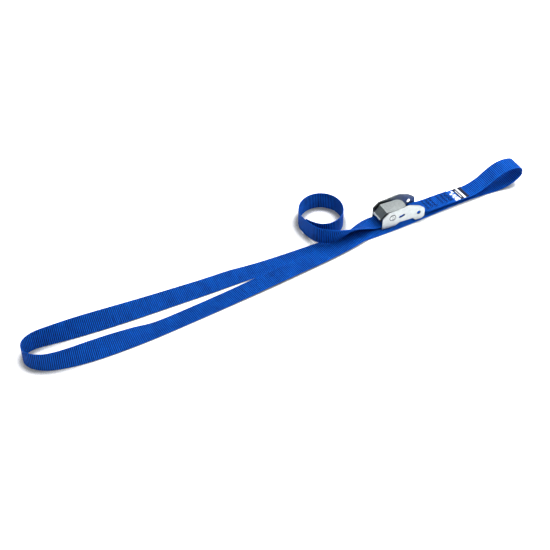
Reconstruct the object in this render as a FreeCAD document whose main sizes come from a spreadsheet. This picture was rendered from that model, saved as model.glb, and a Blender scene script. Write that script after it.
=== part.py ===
import FreeCAD, Part
import math
import os
import Sketcher

# Cam-buckle lashing strap: one length of 25 mm webbing, sewn round the buckle's strap bar at one end,
# laid out as a long hand loop with an eye, then led through the cam buckle so that its tail comes out
# of the front in a loose curl. +X runs along the buckle from its front opening to the sewn end,
# +Z is up, and the origin is on the floor below the middle of the buckle. Millimetres and degrees.

Vector = FreeCAD.Vector

SIZES = {
    # webbing
    "web_width": 25.0,
    "web_thick": 1.4,
    # buckle frame: sheet, width between the ears, floor plate
    "frame_width": 29.6,
    "frame_inside": 26.4,
    "frame_under": 3.0,
    "plate_top": 5.0,
    "ear_front": -31.0,
    "ear_back": 34.2,
    "shoulder_back": -22.5,
    "shoulder_low": 20.0,
    "shoulder_high": 27.4,
    "crown_front": 5.0,
    "crown_back": 10.0,
    "crown_high": 31.0,
    "rump_front": 24.0,
    "rump_high": 26.4,
    "heel_high": 19.0,
    "heel_low": 6.0,
    "foot_back": 30.5,
    "foot_front": 20.4,
    "notch_back": 16.2,
    "notch_front": -3.8,
    "notch_high": 7.5,
    "floor_back": -11.5,
    "edge_soft": 0.3,
    "crown_round": 5.0,
    "small_round": 2.0,
    "foot_round": 1.6,
    "open_low": -2.0,
    "open_high": 40.0,
    "open_front": -40.0,
    "open_back": 50.0,
    # holes in the ears
    "pivot_across": -15.8,
    "pivot_high": 18.4,
    "pivot_hole": 2.55,
    "side_hole_across": 24.8,
    "side_hole_high": 14.7,
    "side_hole": 2.9,
    "slot_half": 3.1,
    "slot_radius": 1.7,
    "slot_across": -1.5,
    "slot_high": 17.1,
    "slot_tilt": 17.0,
    # strap bar
    "bar_across": 25.4,
    "bar_high": 6.3,
    "bar_radius": 3.2,
    # cam lever
    "lever_width": 20.0,
    "lever_inside": 17.0,
    "lever_front": -31.6,
    "lever_lip": 15.6,
    "lever_knee": -22.2,
    "lever_top": 26.0,
    "lever_under": 24.5,
    "lever_tail": 9.0,
    "flange_back": 2.0,
    "flange_low": 12.6,
    "flange_front": -19.5,
    "panel_inner_knee": -21.5,
    "panel_inner_lip": -30.0,
    "lip_inner": 14.9,
    "lip_radius": 1.15,
    "thumb_radius": 7.5,
    "hook_across": -12.2,
    "hook_high": 22.6,
    "hook_hole": 0.8,
    # cam jaw
    "jaw_width": 16.6,
    "jaw_hub": 5.6,
    "jaw_reach": 11.75,
    "jaw_growth": 0.035,
    "tooth_depth": 0.95,
    "tooth_pitch": 8.0,
    # pivot rivet and springs
    "rivet_radius": 2.5,
    "rivet_head": 4.6,
    "rivet_crown": 1.3,
    "spring_radius": 3.6,
    "spring_wire": 0.42,
    "spring_pitch": 1.15,
    "spring_turns": 1.83,
    # sewn end
    "stack_low": 6.85,
    "stack_high": 8.6,
    "label_thick": 0.3,
    "label_width": 24.0,
    "label_length": 29.0,
    "stitch_width": 0.75,
    "stitch_high": 0.45,
}

WEB = SIZES["web_width"]
THICK = SIZES["web_thick"]
STACK_LOW = SIZES["stack_low"]
STACK_HIGH = SIZES["stack_high"]
FLAT = THICK / 2
ON_FLOOR = FLAT
ON_WEB = ON_FLOOR + THICK + 0.05
UNDER_PLATE = ON_WEB
OVER_PLATE = SIZES["plate_top"] + 0.05 + FLAT
BAR_TURN = SIZES["bar_radius"] + FLAT + 0.08

# Routes of the webbing's middle line: x, y, z and lean. Lean is how far the webbing's width is turned
# up from level, in degrees, with +Y as level.
SEWN_ROUTE = [
    (104.0, 5.62, STACK_LOW, 0),
    (68.0, 3.1, STACK_LOW, 0),
    (42.0, 1.2, STACK_LOW, 0),
    (31.0, 0.3, SIZES["bar_high"] - BAR_TURN, 0),
    (SIZES["bar_across"] - BAR_TURN, 0.0, SIZES["bar_high"] - BAR_TURN, 0),
    (SIZES["bar_across"] - BAR_TURN, 0.0, SIZES["bar_high"] + BAR_TURN, 0),
    (30.5, 0.3, SIZES["bar_high"] + BAR_TURN, 0),
    (41.0, 1.1, STACK_HIGH, 0),
    (64.0, 2.8, STACK_HIGH, 0),
    (88.0, 4.6, STACK_HIGH, 0),
]
SEWN_BENDS = {4: BAR_TURN, 5: BAR_TURN}

LOOP_ROUTE = [
    (104.0, 5.62, STACK_LOW, 0),
    (116.0, 6.46, STACK_LOW, 0),
    (128.5, 7.1, 9.7, 0),
    (141.0, 7.5, 15.6, 0),
    (153.0, 7.6, 25.0, 0),
    (166.0, 7.5, 32.2, 0),
    (181.0, 7.4, 34.6, 0),
    (195.5, 7.3, 31.4, 0),
    (198.8, 7.3, 20.0, 0),
    (191.0, 7.5, 11.0, 0),
    (177.0, 7.9, 4.4, 0),
    (160.0, 8.4, ON_FLOOR, 0),
    (139.0, 8.7, ON_FLOOR, 0),
    (112.0, 7.6, ON_FLOOR, 0),
    (82.0, 4.6, ON_FLOOR, 0),
    (50.0, 0.2, ON_FLOOR, 0),
    (18.0, -3.9, ON_FLOOR, 0),
    (-18.0, -8.0, ON_FLOOR, 0),
    (-72.0, -11.6, ON_FLOOR, 0),
    (-122.0, -13.2, ON_FLOOR, 0),
    (-168.0, -15.4, ON_FLOOR, 0),
    (-208.0, -16.7, ON_FLOOR, 0),
    (-234.0, -17.5, 1.55, 3.5),
    (-254.0, -18.7, 2.75, 9),
    (-288.0, -21.3, 3.2, 11),
    (-340.0, -24.0, 4.5, 17),
    (-385.0, -26.9, 6.3, 25),
    (-425.0, -29.4, 8.5, 37),
    (-462.0, -31.4, 10.6, 52),
    (-494.0, -33.4, 12.4, 69),
    (-519.0, -33.8, 12.7, 82),
    (-535.0, -43.5, 12.8, 90),
    (-534.6, -62.0, 12.8, 90),
    (-517.0, -76.0, 12.8, 84),
    (-490.0, -79.6, 12.4, 72),
    (-458.0, -77.6, 10.5, 51),
    (-425.0, -73.5, 7.5, 31),
    (-396.0, -69.7, 4.4, 16),
    (-376.0, -67.0, 1.45, 2),
    (-352.0, -63.7, 0.8, 0),
    (-305.0, -56.9, 0.85, 0),
    (-256.0, -49.4, 1.3, 0),
    (-210.0, -41.9, ON_WEB + 0.35, 0),
    (-166.0, -34.4, ON_WEB + 0.05, 0),
    (-124.0, -27.0, ON_WEB, 0),
    (-88.0, -19.2, ON_WEB, 0),
    (-60.0, -10.6, ON_WEB, 0),
    (-42.0, -4.4, ON_WEB, 0),
    (-27.0, 0.0, ON_WEB, 0),
    (-16.0, 0.0, ON_WEB, 0),
]

# The webbing goes under the floor plate, round its back edge and forward over it to the front opening.
PLATE_FOLD = (OVER_PLATE - UNDER_PLATE) / 2
FOLD_BACK = SIZES["floor_back"] + PLATE_FOLD
BUCKLE_ROUTE = [
    (-16.0, 0.0, UNDER_PLATE, 0),
    (FOLD_BACK, 0.0, UNDER_PLATE, 0),
    (FOLD_BACK, 0.0, OVER_PLATE, 0),
    (SIZES["ear_front"], 0.0, OVER_PLATE, 0),
]
BUCKLE_BENDS = {1: PLATE_FOLD, 2: PLATE_FOLD}

TAIL_ROUTE = [
    (SIZES["ear_front"], 0.0, OVER_PLATE, 0),
    (-40.0, 0.0, OVER_PLATE, 0),
    (-52.0, -3.0, 7.8, -16),
    (-66.0, -8.0, 10.8, -33),
    (-80.0, -12.9, 13.8, -52),
    (-95.5, -15.2, 15.5, -71),
    (-111.0, -11.6, 15.9, -85),
    (-123.8, -1.4, 15.6, -90),
]
CURL_CENTRE = (-97.6, 35.6)
CURL_LONG = 37.0
CURL_SHORT = 32.3
CURL_AXIS = 66.0
CURL_START = 206.0
CURL_STEP = 28.0
CURL_POINTS = 14
CURL_TIGHTEN = 0.3
CURL_HIGH = 12.7
CURL_DROP = 1.2


def curl_route():
    """Points of the tail's curl: one turn of a slowly tightening oval, clockwise seen from above."""
    route = []
    for count in range(CURL_POINTS):
        angle = CURL_START - CURL_STEP * count
        off_axis = math.radians(angle - CURL_AXIS)
        reach = 1 / math.hypot(math.cos(off_axis) / CURL_LONG, math.sin(off_axis) / CURL_SHORT)
        reach -= CURL_TIGHTEN * count
        turn = math.radians(angle)
        high = CURL_HIGH + CURL_DROP * max(0, 1 - count)
        across = CURL_CENTRE[0] + reach * math.cos(turn)
        deep = CURL_CENTRE[1] + reach * math.sin(turn)
        route.append((across, deep, high, -90))
    return route


doc = FreeCAD.newDocument("cam_buckle_strap")
sheet = doc.addObject("Spreadsheet::Sheet", "Sizes")
for row, (alias, value) in enumerate(SIZES.items(), start=1):
    sheet.set("A%d" % row, alias)
    sheet.set("B%d" % row, str(value))
    sheet.setAlias("B%d" % row, alias)
doc.recompute()


def new_body(name):
    """A body whose label names its node."""
    body = doc.addObject("PartDesign::Body", "Body_" + name)
    body.Label = name
    return body


def new_sketch(body, name, role="XZ_Plane"):
    """A sketch on one of the body's own origin planes."""
    sketch = body.newObject("Sketcher::SketchObject", name)
    plane = [item for item in body.Origin.OriginFeatures if item.Role == role][0]
    sketch.AttachmentSupport = [(plane, "")]
    sketch.MapMode = "FlatFace"
    return sketch


def hold(sketch, kind, geometry, point, alias):
    """Hold a point's distance from the sketch origin at a size from the sheet."""
    number = sketch.addConstraint(Sketcher.Constraint(kind, -1, 1, geometry, point, SIZES[alias]))
    name = "%s_%d" % (alias, number)
    sketch.renameConstraint(number, name)
    sketch.setExpression("Constraints." + name, "Sizes." + alias)


def outline(sketch, corners):
    """Closed polygon through corners given as pairs of sheet names."""
    points = [Vector(SIZES[across], SIZES[high], 0) for across, high in corners]
    first = sketch.GeometryCount
    total = len(points)
    for index, point in enumerate(points):
        sketch.addGeometry(Part.LineSegment(point, points[(index + 1) % total]), False)
    for index in range(total):
        following = first + (index + 1) % total
        sketch.addConstraint(Sketcher.Constraint("Coincident", first + index, 2, following, 1))
    for index, (across, high) in enumerate(corners):
        hold(sketch, "DistanceX", first + index, 1, across)
        hold(sketch, "DistanceY", first + index, 1, high)


def circle(sketch, across, high, radius):
    """Circle centred on a pair of sheet names."""
    middle = Vector(SIZES[across], SIZES[high], 0)
    number = sketch.addGeometry(Part.Circle(middle, Vector(0, 0, 1), SIZES[radius]), False)
    hold(sketch, "DistanceX", number, 3, across)
    hold(sketch, "DistanceY", number, 3, high)
    size = sketch.addConstraint(Sketcher.Constraint("Radius", number, SIZES[radius]))
    name = "%s_%d" % (radius, size)
    sketch.renameConstraint(size, name)
    sketch.setExpression("Constraints." + name, "Sizes." + radius)


def slab(body, kind, name, sketch, width):
    """Pad or pocket a sketch by half a width to each side of its plane."""
    feature = body.newObject("PartDesign::" + kind, name)
    feature.Profile = sketch
    feature.SideType = "Symmetric"
    feature.setExpression("Length", "Sizes." + width)
    doc.recompute()
    return feature


def cut(body, name, sketch, width):
    """Pocket that must remove material."""
    before = body.Shape.Volume
    feature = slab(body, "Pocket", name, sketch, width)
    if body.Shape.Volume >= before:
        raise RuntimeError(name + " cuts nothing")
    return feature


def edges_across(shape, places, reach=0.05):
    """Names of the edges that run along Y through the given (x, z) places."""
    names = []
    for number, edge in enumerate(shape.Edges, start=1):
        if edge.BoundBox.XLength > 0.01 or edge.BoundBox.ZLength > 0.01:
            continue
        middle = edge.CenterOfMass
        if any(math.hypot(middle.x - x, middle.z - z) < reach for x, z in places):
            names.append("Edge%d" % number)
    return names


def round_edges(body, name, places, alias):
    """Fillet the edges that run across the buckle at the given places, by a radius from the sheet."""
    base = body.Tip
    feature = body.newObject("PartDesign::Fillet", name)
    feature.Base = (base, edges_across(base.Shape, places))
    feature.setExpression("Radius", "Sizes." + alias)
    doc.recompute()
    return feature


def soften(body, name, half_width):
    """Small round along a blank's outline on both outer faces."""
    base = body.Tip
    names = []
    for number, edge in enumerate(base.Shape.Edges, start=1):
        flat = edge.BoundBox.YLength < 0.01
        if flat and abs(abs(edge.CenterOfMass.y) - half_width) < 0.01:
            names.append("Edge%d" % number)
    feature = body.newObject("PartDesign::Fillet", name)
    feature.Base = (base, names)
    feature.setExpression("Radius", "Sizes.edge_soft")
    doc.recompute()
    return feature


def solid_feature(name, shape, placement=FreeCAD.Placement()):
    """A sub-part whose shape is worked out from the sheet in code."""
    feature = doc.addObject("Part::Feature", "Solid_" + name)
    feature.Shape = shape
    feature.Label = name
    feature.Placement = placement
    return feature


# Buckle frame: one stamping, with two ears, a front floor plate and a rolled strap bar between the feet.
def frame_body():
    body = new_body("frame_body")
    profile = new_sketch(body, "EarProfile")
    outline(profile, [
        ("ear_front", "frame_under"),
        ("ear_front", "shoulder_low"),
        ("shoulder_back", "shoulder_high"),
        ("crown_front", "crown_high"),
        ("crown_back", "crown_high"),
        ("rump_front", "rump_high"),
        ("ear_back", "heel_high"),
        ("ear_back", "heel_low"),
        ("foot_back", "frame_under"),
        ("foot_front", "frame_under"),
        ("notch_back", "notch_high"),
        ("notch_front", "notch_high"),
        ("floor_back", "frame_under"),
    ])
    slab(body, "Pad", "EarBlank", profile, "frame_width")
    corner = (SIZES["shoulder_back"], SIZES["shoulder_high"])
    crown = [(SIZES["crown_front"], SIZES["crown_high"]), (SIZES["crown_back"], SIZES["crown_high"])]
    round_edges(body, "CrownRound", crown, "crown_round")
    round_edges(body, "ShoulderRound", [corner, (SIZES["ear_front"], SIZES["shoulder_low"])], "small_round")
    heel = [(SIZES["ear_back"], SIZES["heel_high"]), (SIZES["rump_front"], SIZES["rump_high"])]
    round_edges(body, "HeelRound", heel, "crown_round")
    foot = [(SIZES["ear_back"], SIZES["heel_low"]), (SIZES["foot_back"], SIZES["frame_under"])]
    round_edges(body, "FootRound", foot, "foot_round")
    soften(body, "EarSoft", SIZES["frame_width"] / 2)

    inside = new_sketch(body, "Inside")
    outline(inside, [
        ("open_front", "plate_top"),
        ("open_front", "open_high"),
        ("open_back", "open_high"),
        ("open_back", "open_low"),
        ("floor_back", "open_low"),
        ("floor_back", "plate_top"),
    ])
    cut(body, "BetweenEars", inside, "frame_inside")

    pivot = new_sketch(body, "PivotHoleSketch")
    circle(pivot, "pivot_across", "pivot_high", "pivot_hole")
    cut(body, "PivotHole", pivot, "frame_width")
    side = new_sketch(body, "SideHoleSketch")
    circle(side, "side_hole_across", "side_hole_high", "side_hole")
    cut(body, "SideHole", side, "frame_width")

    slot = new_sketch(body, "SpringSlotSketch")
    tilt = math.radians(SIZES["slot_tilt"])
    along = Vector(math.cos(tilt), math.sin(tilt), 0)
    side_way = Vector(-along.y, along.x, 0)
    middle = Vector(SIZES["slot_across"], SIZES["slot_high"], 0)
    first = middle - along * SIZES["slot_half"]
    last = middle + along * SIZES["slot_half"]
    off = side_way * SIZES["slot_radius"]
    tip = along * SIZES["slot_radius"]
    slot.addGeometry(Part.LineSegment(first + off, last + off), False)
    slot.addGeometry(Part.Arc(last + off, last + tip, last - off), False)
    slot.addGeometry(Part.LineSegment(last - off, first - off), False)
    slot.addGeometry(Part.Arc(first - off, first - tip, first + off), False)
    for index in range(4):
        slot.addConstraint(Sketcher.Constraint("Block", index))
    cut(body, "SpringSlot", slot, "frame_width")

    bar = new_sketch(body, "StrapBarSketch")
    circle(bar, "bar_across", "bar_high", "bar_radius")
    slab(body, "Pad", "StrapBar", bar, "frame_width")
    return body


# Cam lever: a bent sheet with a thumb panel, a sloping front panel with a hemmed lip, and two flanges.
def lever_shell():
    body = new_body("lever_shell")
    profile = new_sketch(body, "LeverProfile")
    outline(profile, [
        ("lever_front", "lever_lip"),
        ("lever_knee", "lever_top"),
        ("lever_tail", "lever_top"),
        ("lever_tail", "lever_under"),
        ("flange_back", "lever_under"),
        ("pivot_across", "flange_low"),
        ("flange_front", "flange_low"),
        ("panel_inner_lip", "lip_inner"),
    ])
    slab(body, "Pad", "LeverBlank", profile, "lever_width")
    round_edges(body, "KneeRound", [(SIZES["lever_knee"], SIZES["lever_top"])], "small_round")
    inside = new_sketch(body, "LeverInside")
    outline(inside, [
        ("panel_inner_lip", "open_low"),
        ("panel_inner_lip", "lip_inner"),
        ("panel_inner_knee", "lever_under"),
        ("open_back", "lever_under"),
        ("open_back", "open_low"),
    ])
    cut(body, "BetweenFlanges", inside, "lever_inside")
    lip = new_sketch(body, "LipHemSketch")
    circle(lip, "lever_front", "lever_lip", "lip_radius")
    slab(body, "Pad", "LipHem", lip, "lever_width")
    hole = new_sketch(body, "LeverHoleSketch")
    circle(hole, "pivot_across", "pivot_high", "pivot_hole")
    circle(hole, "hook_across", "hook_high", "hook_hole")
    cut(body, "LeverHoles", hole, "lever_width")
    corners = []
    for number, edge in enumerate(body.Tip.Shape.Edges, start=1):
        upright = edge.BoundBox.XLength < 0.01 and edge.BoundBox.YLength < 0.01
        if upright and abs(edge.CenterOfMass.x - SIZES["lever_tail"]) < 0.01:
            corners.append("Edge%d" % number)
    base = body.Tip
    thumb = body.newObject("PartDesign::Fillet", "ThumbRound")
    thumb.Base = (base, corners)
    thumb.setExpression("Radius", "Sizes.thumb_radius")
    doc.recompute()
    return body


# Cam jaw: a toothed eccentric on the pivot rivet, growing towards the front so that a pull bites harder.
def cam_jaw():
    body = new_body("cam_jaw")
    sketch = new_sketch(body, "JawProfile")
    middle = Vector(SIZES["pivot_across"], SIZES["pivot_high"], 0)
    points = []
    pitch = SIZES["tooth_pitch"]
    for tooth in range(-6, 4):
        tip = -90.0 + tooth * pitch
        for angle, depth in ((tip, 0.0), (tip + pitch * 0.62, SIZES["tooth_depth"])):
            reach = SIZES["jaw_reach"] - SIZES["jaw_growth"] * (angle + 90.0) - depth
            turn = math.radians(angle)
            points.append(middle + Vector(math.cos(turn), math.sin(turn), 0) * reach)
    for angle in (0, 30, 60, 90, 120, 150, 180):
        turn = math.radians(angle)
        points.append(middle + Vector(math.cos(turn), math.sin(turn), 0) * SIZES["jaw_hub"])
    total = len(points)
    for index, point in enumerate(points):
        sketch.addGeometry(Part.LineSegment(point, points[(index + 1) % total]), False)
        sketch.addConstraint(Sketcher.Constraint("Block", index))
    slab(body, "Pad", "JawBlank", sketch, "jaw_width")
    hole = new_sketch(body, "JawHoleSketch")
    circle(hole, "pivot_across", "pivot_high", "pivot_hole")
    cut(body, "JawHole", hole, "jaw_width")
    return body


# Pivot rivet: a plain shank through both ears with a low domed head at each end.
def pivot_rivet():
    shank = doc.addObject("Part::Cylinder", "RivetShank")
    shank.setExpression("Radius", "Sizes.rivet_radius")
    shank.setExpression("Height", "Sizes.frame_width")
    shank.Placement = FreeCAD.Placement(Vector(0, 0, 0), FreeCAD.Rotation())
    pieces = [shank]
    radius = SIZES["rivet_head"]
    crown = SIZES["rivet_crown"]
    ball = (radius * radius + crown * crown) / (2 * crown)
    for name, place, way in (("FarHead", SIZES["frame_width"], 1), ("NearHead", 0.0, -1)):
        sphere = doc.addObject("Part::Sphere", "Rivet" + name)
        sphere.Radius = ball
        centre = Vector(0, 0, place - way * (ball - crown))
        sphere.Placement = FreeCAD.Placement(centre, FreeCAD.Rotation())
        keep = doc.addObject("Part::Cylinder", "Rivet" + name + "Limit")
        keep.setExpression("Radius", "Sizes.rivet_head")
        keep.Height = crown
        bottom = Vector(0, 0, place if way > 0 else place - crown)
        keep.Placement = FreeCAD.Placement(bottom, FreeCAD.Rotation())
        head = doc.addObject("Part::Common", "Rivet" + name + "Dome")
        head.Base = sphere
        head.Tool = keep
        pieces.append(head)
    rivet = doc.addObject("Part::MultiFuse", "PivotRivet")
    rivet.Shapes = pieces
    rivet.Label = "pivot_rivet"
    turn = FreeCAD.Rotation(Vector(1, 0, 0), -90)
    rivet.Placement = FreeCAD.Placement(
        Vector(SIZES["pivot_across"], -SIZES["frame_width"] / 2, SIZES["pivot_high"]), turn)
    return rivet


def unit(vector):
    """A copy of a vector at length one."""
    return vector * (1 / vector.Length)


def rod(start, end, radius):
    """Round bar between two points."""
    way = end - start
    return Part.makeCylinder(radius, way.Length, start, way)


# Torsion springs: coils round the rivet between a flange and an ear, one leg hooked in the flange and
# one in the ear's slot. The near spring is the far one's mirror image.
def torsion_springs():
    radius = SIZES["spring_radius"]
    wire = SIZES["spring_wire"]
    turns = SIZES["spring_turns"]
    height = SIZES["spring_pitch"] * turns
    helix = Part.makeHelix(SIZES["spring_pitch"], height, radius)
    path = Part.Wire(helix.Edges)
    start = Vector(radius, 0, 0)
    rim = Part.Wire([Part.Circle(start, Vector(0, 1, 0), wire).toShape()])
    coil = path.makePipeShell([rim], True, False)

    # In the spring's own frame x is across, y is down and z points away from the lever.
    last = 2 * math.pi * turns
    finish = Vector(radius * math.cos(last), radius * math.sin(last), height)
    tilt = math.radians(SIZES["slot_tilt"])
    slot_x = SIZES["slot_across"] - SIZES["slot_half"] * math.cos(tilt) - SIZES["pivot_across"]
    slot_y = SIZES["pivot_high"] - SIZES["slot_high"] + SIZES["slot_half"] * math.sin(tilt)
    slot = Vector(slot_x, slot_y, height)
    hook = Vector(radius, SIZES["pivot_high"] - SIZES["hook_high"], 0)
    inward = hook - Vector(0, 0, 1.7)
    outward = slot + Vector(0, 0, 2.2)
    bends = ((start, hook), (hook, inward), (finish, slot), (slot, outward))
    pieces = [rod(begin, end, wire) for begin, end in bends]
    pieces += [Part.makeSphere(wire, point) for point in (start, hook, finish, slot)]
    spring = coil.multiFuse(pieces)
    first = SIZES["lever_width"] / 2 + 0.1 + wire
    turn = FreeCAD.Rotation(Vector(1, 0, 0), -90)
    place = FreeCAD.Placement(Vector(SIZES["pivot_across"], first, SIZES["pivot_high"]), turn)
    far = solid_feature("torsion_spring_far", spring, place)
    near = doc.addObject("Part::Mirroring", "NearSpring")
    near.Source = far
    near.Normal = Vector(0, 1, 0)
    near.Label = "torsion_spring_near"
    return [far, near]


def route_stations(route, bends):
    """Stations along straight runs joined by tangent arcs: (point, direction, lean, leg), and the radii."""
    points = [Vector(x, y, z) for x, y, z, lean in route]
    leans = [lean for x, y, z, lean in route]
    legs = [points[index + 1] - points[index] for index in range(len(points) - 1)]
    stations = [(points[0], unit(legs[0]), leans[0], 0.0)]
    radii = []
    for index in range(1, len(points) - 1):
        before = unit(legs[index - 1])
        after = unit(legs[index])
        half_turn = before.getAngle(after) / 2
        shorter = min(legs[index - 1].Length, legs[index].Length)
        radius = bends.get(index, 0.45 * shorter / math.tan(half_turn))
        trim = radius * math.tan(half_turn)
        radii.append(radius)
        start = points[index] - before * trim
        share_in = trim / legs[index - 1].Length
        share_out = trim / legs[index].Length
        axis = unit(before.cross(after))
        centre = start + axis.cross(before) * radius
        steps = max(2, math.ceil(math.degrees(2 * half_turn) / 9.0))
        for step in range(steps + 1):
            share = step / steps
            turn = FreeCAD.Rotation(axis, math.degrees(2 * half_turn) * share)
            point = centre + turn.multVec(start - centre)
            place = index - share_in * (1 - share) + share_out * share
            low = max(0, min(len(leans) - 2, math.floor(place)))
            lean = leans[low] + (leans[low + 1] - leans[low]) * (place - low)
            stations.append((point, turn.multVec(before), lean, place))
    stations.append((points[-1], unit(legs[-1]), leans[-1], len(points) - 1.0))
    split = []
    for index in range(len(legs)):
        share = 0.5
        if index in bends and index + 1 in bends:
            continue
        place = index + share
        point = points[index] + legs[index] * share
        lean = leans[index] + (leans[index + 1] - leans[index]) * share
        split.append((point, unit(legs[index]), lean, place))
    stations += split
    stations.sort(key=lambda station: station[3])
    kept = [stations[0]]
    for station in stations[1:]:
        if (station[0] - kept[-1][0]).Length > 0.02:
            kept.append(station)
    return kept, radii


def section(point, direction, lean):
    """Closed rectangle of the webbing's section, square to its direction."""
    turn = math.radians(lean)
    across = Vector(0, math.cos(turn), math.sin(turn))
    across = unit(across - direction * across.dot(direction))
    through = direction.cross(across)
    corners = []
    for side, face in ((-1, -1), (1, -1), (1, 1), (-1, 1)):
        corners.append(point + across * (side * WEB / 2) + through * (face * THICK / 2))
    return Part.makePolygon(corners + corners[:1])


def webbing(name, stations, first, last):
    """Solid of the webbing between two places along its route, checked by section times length."""
    part = [station for station in stations if first - 1e-6 <= station[3] <= last + 1e-6]
    wires = [section(point, direction, lean) for point, direction, lean, place in part]
    solid = Part.makeLoft(wires, True, True)
    length = sum((part[index + 1][0] - part[index][0]).Length for index in range(len(part) - 1))
    expected = length * WEB * THICK
    if solid.Volume < 0:
        solid.reverse()
    print("%-22s length %7.1f mm, volume %8.0f of %8.0f" % (name, length, solid.Volume, expected))
    if abs(solid.Volume / expected - 1) > 0.05:
        raise RuntimeError(name + " has the wrong volume")
    return solid_feature(name, solid)


def print_radii(name, radii):
    """Radii of a route's bends, in order."""
    print(name, "bend radii:", " ".join("%.0f" % radius for radius in radii))


def all_webbing():
    """Every stretch of the webbing, each ending face to face with the next."""
    parts = []
    sewn, radii = route_stations(SEWN_ROUTE, SEWN_BENDS)
    print_radii("sewn end", radii)
    parts.append(webbing("webbing_sewn_end", sewn, 0, len(SEWN_ROUTE) - 1))
    loop, radii = route_stations(LOOP_ROUTE, {})
    print_radii("loop", radii)
    cuts = [0, 11.5, 20.5, 29.5, 34.5, 41.5, len(LOOP_ROUTE) - 1]
    names = ["webbing_eye", "webbing_under_run", "webbing_far_run", "webbing_loop_bend",
             "webbing_near_run", "webbing_entry_run"]
    for name, first, last in zip(names, cuts, cuts[1:]):
        parts.append(webbing(name, loop, first, last))
    buckle, radii = route_stations(BUCKLE_ROUTE, BUCKLE_BENDS)
    print_radii("buckle", radii)
    parts.append(webbing("webbing_buckle_run", buckle, 0, len(BUCKLE_ROUTE) - 1))
    tail, radii = route_stations(TAIL_ROUTE + curl_route(), {})
    print_radii("tail", radii)
    join = len(TAIL_ROUTE) - 1.5
    parts.append(webbing("webbing_tail", tail, 0, join))
    parts.append(webbing("webbing_tail_curl", tail, join, len(TAIL_ROUTE) + CURL_POINTS - 1.0))
    return parts


def sewn_frame(across_x):
    """Middle of the sewn stack at a given x: its y there and the stack's heading along the floor."""
    start = Vector(41.0, 1.1, 0)
    end = Vector(88.0, 4.6, 0)
    heading = unit(end - start)
    place = start + (end - start) * ((across_x - start.x) / (end.x - start.x))
    return place, heading


# Rows of zigzag stitching across the sewn stack.
def seam_stitches():
    rows = []
    top = STACK_HIGH + FLAT - 0.1
    for across_x in (44.5, 51.0, 57.5, 69.0, 75.5, 82.0):
        middle, heading = sewn_frame(across_x)
        side_way = Vector(-heading.y, heading.x, 0)
        zigzag = []
        for count in range(9):
            swing = 1.7 if count % 2 else -1.7
            zigzag.append(middle + side_way * (-9.6 + 2.4 * count) + heading * swing)
        half = SIZES["stitch_width"] / 2
        edge = [point + heading * half for point in zigzag]
        edge += [point - heading * half for point in reversed(zigzag)]
        face = Part.Face(Part.makePolygon([point + Vector(0, 0, top) for point in edge + edge[:1]]))
        rows.append(face.extrude(Vector(0, 0, SIZES["stitch_high"])))
    return solid_feature("seam_stitches", Part.makeCompound(rows))


# Woven label, held between the two sewn layers and lying on the lower one.
def webbing_label():
    label = doc.addObject("Part::Box", "LabelStrip")
    label.Label = "webbing_label"
    label.setExpression("Height", "Sizes.label_thick")
    label.setExpression("Width", "Sizes.label_width")
    label.setExpression("Length", "Sizes.label_length")
    place, heading = sewn_frame(81.0)
    side_way = Vector(-heading.y, heading.x, 0)
    corner = place - side_way * (SIZES["label_width"] / 2) + Vector(0, 0, STACK_LOW + FLAT + 0.02)
    turn = FreeCAD.Rotation(Vector(0, 0, 1), math.degrees(math.atan2(heading.y, heading.x)))
    label.Placement = FreeCAD.Placement(corner, turn)
    return label


# Heat-sealed hard edge on the tail's cut end.
def tail_seal():
    route = TAIL_ROUTE + curl_route()
    end = Vector(*route[-1][:3])
    way = unit(end - Vector(*route[-2][:3]))
    wires = [section(end + way * offset, way, route[-1][3]) for offset in (0.0, 1.6)]
    return solid_feature("tail_sealed_edge", Part.makeLoft(wires, True, True))


def build():
    parts = [frame_body(), lever_shell(), cam_jaw(), pivot_rivet()]
    parts += torsion_springs()
    parts += all_webbing()
    parts += [seam_stitches(), webbing_label(), tail_seal()]
    doc.recompute()
    return parts


def check_and_write(parts):
    for item in doc.Objects:
        if "Invalid" in item.State or "Error" in item.State:
            raise RuntimeError("%s failed: %s" % (item.Name, item.State))
    for part in parts:
        if part.Shape.isNull() or not part.Shape.isValid():
            raise RuntimeError(part.Label + " has no valid shape")
    os.makedirs("parts", exist_ok=True)
    for part in parts:
        part.Shape.exportStep(os.path.join("parts", part.Label + ".step"))
        box = part.Shape.BoundBox
        print("%-22s solids %d x %.1f..%.1f y %.1f..%.1f z %.1f..%.1f" % (
            part.Label, len(part.Shape.Solids), box.XMin, box.XMax, box.YMin, box.YMax, box.ZMin, box.ZMax))


check_and_write(build())
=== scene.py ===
import math

import bmesh
import bpy
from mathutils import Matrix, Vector, noise


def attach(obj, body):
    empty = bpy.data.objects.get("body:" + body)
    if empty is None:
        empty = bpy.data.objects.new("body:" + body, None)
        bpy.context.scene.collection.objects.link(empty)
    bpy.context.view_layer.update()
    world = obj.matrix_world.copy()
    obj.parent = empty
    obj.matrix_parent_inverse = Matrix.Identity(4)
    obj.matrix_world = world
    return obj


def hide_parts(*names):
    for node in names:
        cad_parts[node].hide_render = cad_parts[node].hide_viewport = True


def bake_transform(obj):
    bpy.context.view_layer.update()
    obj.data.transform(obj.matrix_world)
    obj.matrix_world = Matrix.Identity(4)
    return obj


# Cam-buckle lashing strap: one length of 25 mm blue webbing, sewn round the buckle's strap bar, with a
# long hand loop, an eye and a curled tail. Metres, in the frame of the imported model.

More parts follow.
